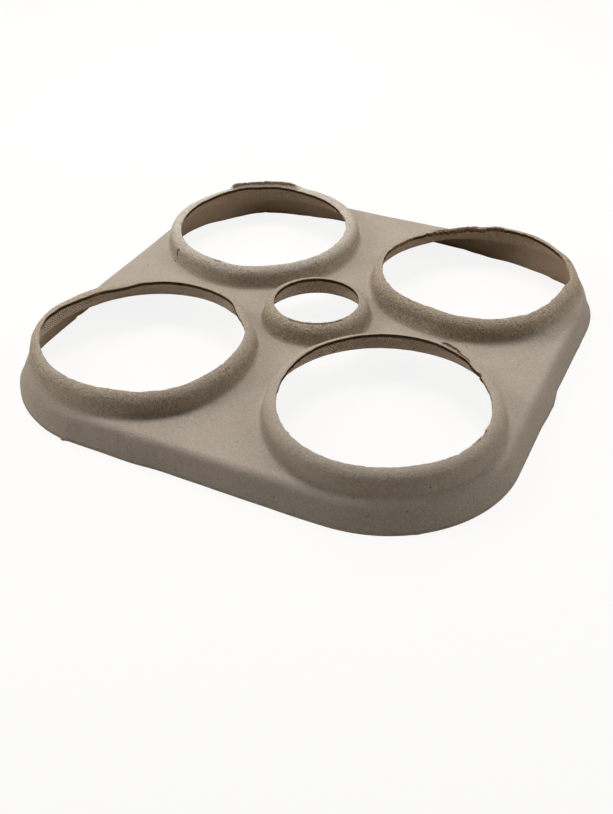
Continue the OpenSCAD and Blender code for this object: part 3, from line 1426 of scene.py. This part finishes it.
@dataclass(frozen=True)
class Finish:
    """One of the pulp's finishes: its three colours, its grain and its relief.

    The fuzzy colour is taken where the fibre stands up, and on the felt it is painted warm
    shade. The other one is taken where its own mask is 1: on the felt a painted highlight, on
    the cut faces painted shade over dark cut fibre, and on the screen side the print's colour.
    Contrast and relief are pairs, for flat fibre and for fuzzy fibre. Where the finish is
    broken, its mask is broken up into patches.
    """

    kind: Face
    colour: tuple[float, float, float]
    fuzzy: tuple[float, float, float]
    other: tuple[float, float, float]
    mask: str
    contrast: tuple[float, float]
    relief: tuple[float, float]
    clouds: float = 1.0
    print_tone: float = 0.0
    print_relief: float = 0.25
    print_pitch: float = 1.22 * MM
    print_wear: float = 2.1 * MM
    print_worn: tuple[float, float] = (0.3, 0.6)
    shine: float = 0.15
    broken: float = 0.0
    patch: float = 1.6 * MM
    patch_fade: tuple[float, float] = (0.2, 0.8)
    speck_fuzz: float = 0.6
    speck_shares: tuple[float, float] = (0.17, 0.32)
    speck_shade: float = 0.4
    strand_relief: float = 0.4
    roughness: float = 0.95

    def dress(self, material: bpy.types.Material, groups: PulpGroups) -> None:
        """Build the finish in a material.

        Args:
            material: The material to fill.
            groups: The shader groups that the finishes share.
        """
        material.use_nodes = True
        graph = Graph(material.node_tree)
        shader = material.node_tree.nodes["Principled BSDF"]
        fuzz = graph.own(FUZZ_MASK)
        contrast = graph.spread(fuzz, 0.0, 1.0, *self.contrast)
        grain = graph.group(groups.grain, contrast=contrast, clouds=self.clouds)
        tone = grain.outputs["Tone"]
        height = graph.math("MULTIPLY", grain.outputs["Height"], graph.spread(fuzz, 0.0, 1.0, *self.relief))
        mask = graph.own(self.mask)
        if self.broken:
            patchy = graph.math("SUBTRACT", graph.grain(graph.place(), self.patch, 3.0), 0.5)
            patchy = graph.math("MULTIPLY", patchy, self.broken)
            mask = graph.spread(graph.math("ADD", mask, patchy), *self.patch_fade)
        if self.print_tone:
            dots = graph.math("MULTIPLY", self.mesh_print(graph), mask)
            tone = graph.math("ADD", tone, graph.math("MULTIPLY", dots, self.print_tone))
            height = graph.math("ADD", height, graph.math("MULTIPLY", dots, self.print_relief))
        shade = graph.node("ShaderNodeVectorMath", operation="SCALE")
        # Over the fuzz the felt takes a painted warm shade.
        plain = graph.mix(fuzz, (*self.colour, 1), (*self.fuzzy, 1))
        graph.feed(shade.inputs[0], graph.mix(mask, plain, (*self.other, 1)))
        graph.feed(shade.inputs["Scale"], tone)
        share = graph.spread(fuzz, 0.0, self.speck_fuzz, *self.speck_shares)
        specks = graph.group(groups.specks, share=share)
        speck_colour = (*(self.speck_shade * part for part in self.colour), 1)
        speckled = graph.mix(specks.outputs["Mask"], shade.outputs[0], speck_colour)
        torn = graph.group(groups.torn)
        graph.feed(shader.inputs["Base Color"],
                   graph.mix(torn.outputs["Mask"], speckled, torn.outputs["Color"]))
        shader.inputs["Roughness"].default_value = self.roughness
        shader.inputs["Specular IOR Level"].default_value = self.shine
        strands = graph.math("MULTIPLY", torn.outputs["Height"], torn.outputs["Mask"])
        strands = graph.math("MULTIPLY", strands, self.strand_relief)
        bump = graph.node("ShaderNodeBump")
        graph.feed(bump.inputs["Height"], graph.math("ADD", height, strands))
        graph.feed(bump.inputs["Strength"], 1.0)
        graph.feed(bump.inputs["Distance"], MM)
        graph.feed(shader.inputs["Normal"], bump.outputs["Normal"])

    def mesh_print(self, graph: Graph) -> bpy.types.NodeSocket:
        """Rows of dots that the mould's wire mesh leaves, over the shell's own map.

        Args:
            graph: The material's graph.

        Returns:
            Socket of the dots, from -1 to 1, worn away in places.
        """
        chart = graph.node("ShaderNodeUVMap", uv_map=PRINT_MAP).outputs["UV"]
        parts = graph.node("ShaderNodeSeparateXYZ")
        graph.feed(parts.inputs[0], chart)
        wave = 2 * math.pi / self.print_pitch
        across = graph.math("SINE", graph.math("MULTIPLY", parts.outputs[0], wave))
        up = graph.math("SINE", graph.math("MULTIPLY", parts.outputs[1], wave))
        worn = graph.spread(graph.grain(chart, self.print_wear, 2.0), *self.print_worn)
        return graph.math("MULTIPLY", graph.math("MULTIPLY", across, up), worn)


def finishes() -> tuple[Finish, ...]:
    """Choose the pulp's colours.

    Returns:
        The felt side's finish, the screen side's and the cut edges'.
    """
    # The warm shaded felt is painted warm shade over the collars, and the highlight felt is a painted
    # highlight on the back crest.
    felt, warm_shaded_felt, highlight_felt = (0.376, 0.319, 0.26), (0.372, 0.297, 0.218), (0.488, 0.425, 0.353)
    screen, dotted = (0.335, 0.25, 0.175), (0.52, 0.42, 0.34)
    # The shaded cut colour is painted shade over dark cut fibre, on the cut faces turned away from the lamps.
    cut, shaded_cut = (0.33, 0.265, 0.2), (0.06, 0.035, 0.018)
    return (
        Finish(Face.FELT, felt, warm_shaded_felt, highlight_felt, CREST_HIGHLIGHT_MASK, contrast=(0.6, 1.75), relief=(0.2, 0.62)),
        Finish(Face.SCREEN, screen, screen, dotted, SCREEN_MASK, contrast=(0.5, 1.6), relief=(0.2, 0.35),
               clouds=0.8, print_tone=0.95),
        Finish(Face.CUT, cut, cut, shaded_cut, CUT_SHADE_MASK, contrast=(0.6, 0.8), relief=(0.2, 0.3),
               shine=0.0, broken=1.1),
    )


@dataclass(frozen=True)
class Lamp:
    """A round soft lamp that shines on the tray from a bearing, a height and a distance."""

    name: str
    bearing: float
    elevation: float
    distance: float
    width: float
    strength: float

    def hang(self) -> None:
        """Add the lamp to the scene, with its strength as the light that reaches the tray."""
        data = bpy.data.lights.new(self.name, "AREA")
        data.shape = "DISK"
        data.size = self.width
        data.energy = self.strength * math.pi * self.distance ** 2
        lamp = bpy.data.objects.new(self.name, data)
        turn, tilt = math.radians(self.bearing), math.radians(self.elevation)
        source = Vector((math.cos(turn) * math.cos(tilt), math.sin(turn) * math.cos(tilt), math.sin(tilt)))
        lamp.location = source * self.distance
        lamp.rotation_euler = source.to_track_quat("Z", "Y").to_euler()
        bpy.context.collection.objects.link(lamp)


@dataclass
class Studio:
    """Camera, floor and lights.

    The camera looks at its target from an azimuth, an elevation and a distance, with the
    photograph's focal length and frame in pixels. Places are in millimetres, and the
    floor and the lamps in metres.
    """

    azimuth: float = 26.465
    elevation: float = 37.351
    roll: float = -0.932
    distance: float = 376.63
    target: tuple[float, float, float] = (17.411, -45.583, 0.0)
    focal_px: float = 1001.49
    frame_h_px: float = 814.0
    sensor_w: float = 36.0
    clip: tuple[float, float] = (0.01, 20.0)
    sky: float = 0.0
    floor_size: float = 12.0
    floor_colour: tuple[float, float, float] = (0.84, 0.79, 0.71)
    floor_roughness: float = 0.9
    floor_white: float = 0.88
    lamps: tuple[Lamp, ...] = (
        Lamp("overhead", 117.0, 68.0, 0.75, 0.35, 2.25),
        Lamp("back_window", 120.0, 35.0, 0.75, 0.4, 0.8),
        Lamp("left_window", 200.0, 36.0, 0.75, 0.4, 1.3),
        Lamp("right_window", 20.0, 36.0, 0.75, 0.4, 0.85),
    )

    def add_camera(self) -> None:
        """Put the camera where the photograph was taken from."""
        turn, tilt = math.radians(self.azimuth), math.radians(self.elevation)
        back = Vector((math.sin(turn) * math.cos(tilt), -math.cos(turn) * math.cos(tilt), math.sin(tilt)))
        right = (-back).cross(Vector((0, 0, 1))).normalized()
        up = right.cross(-back)
        lean = math.radians(self.roll)
        right, up = right * math.cos(lean) + up * math.sin(lean), up * math.cos(lean) - right * math.sin(lean)
        place = (Vector(self.target) + back * self.distance) * MM
        data = bpy.data.cameras.new("camera")
        data.sensor_width = self.sensor_w
        data.lens = self.focal_px * self.sensor_w / self.frame_h_px
        data.clip_start, data.clip_end = self.clip
        camera = bpy.data.objects.new("camera", data)
        camera.matrix_world = Matrix((
            (right.x, up.x, back.x, place.x), (right.y, up.y, back.y, place.y),
            (right.z, up.z, back.z, place.z), (0, 0, 0, 1)))
        bpy.context.collection.objects.link(camera)
        bpy.context.scene.camera = camera

    @staticmethod
    def seen(graph: Graph) -> bpy.types.NodeSocket:
        """Tell the camera's sight from the light that falls on the tray.

        Args:
            graph: Graph of the floor's or the sky's material.

        Returns:
            Socket that is 1 for what the camera sees, also through gloss and glass.
        """
        path = graph.node("ShaderNodeLightPath").outputs
        straight = graph.math("MAXIMUM", path["Is Camera Ray"], path["Is Glossy Ray"])
        return graph.math("MAXIMUM", straight, path["Is Transmission Ray"])

    def add_floor(self) -> None:
        """Lay the pale floor, which the camera sees nearly white, with a faint shadow."""
        bpy.ops.object.select_all(action="DESELECT")
        bpy.ops.mesh.primitive_plane_add(size=self.floor_size, location=(0, 0, 0))
        floor = bpy.context.object
        floor.name = "floor"
        material = bpy.data.materials.new("floor")
        material.use_nodes = True
        graph = Graph(material.node_tree)
        shader = material.node_tree.nodes["Principled BSDF"]
        shader.inputs["Base Color"].default_value = (*self.floor_colour, 1)
        shader.inputs["Roughness"].default_value = self.floor_roughness
        glow = graph.node("ShaderNodeEmission")
        mix = graph.node("ShaderNodeMixShader")
        graph.feed(mix.inputs[0], graph.math("MULTIPLY", self.seen(graph), self.floor_white))
        graph.feed(mix.inputs[1], shader.outputs[0])
        graph.feed(mix.inputs[2], glow.outputs[0])
        graph.feed(material.node_tree.nodes["Material Output"].inputs["Surface"], mix.outputs[0])
        floor.data.materials.append(material)

    def add_sky(self) -> None:
        """Fill the room with even light, and show the camera white."""
        world = bpy.data.worlds.new("studio")
        bpy.context.scene.world = world
        world.use_nodes = True
        graph = Graph(world.node_tree)
        background = world.node_tree.nodes["Background"]
        background.inputs["Color"].default_value = (1, 1, 1, 1)
        strength = graph.node("ShaderNodeMapRange")
        for place, item in enumerate((self.seen(graph), 0.0, 1.0, self.sky, 1.0)):
            graph.feed(strength.inputs[place], item)
        graph.feed(background.inputs["Strength"], strength.outputs[0])

    def build(self) -> None:
        """Set up the whole studio."""
        self.add_camera()
        self.add_floor()
        self.add_sky()
        for lamp in self.lamps:
            lamp.hang()
        bpy.context.scene.view_settings.view_transform = "Standard"


def main() -> None:
    """Build the studio and the tray."""
    logging.basicConfig(level=logging.INFO, format="%(name)s: %(message)s")
    Studio().build()
    shell = PressedShell().build()
    groups = PulpGroups.build()
    for finish in finishes():
        finish.dress(shell.data.materials[finish.kind.value], groups)
    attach(shell, BODY)
    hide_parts(NODE)
    log.info("%s: %d faces", shell.name, len(shell.data.polygons))


if __name__ == "__main__":
    main()
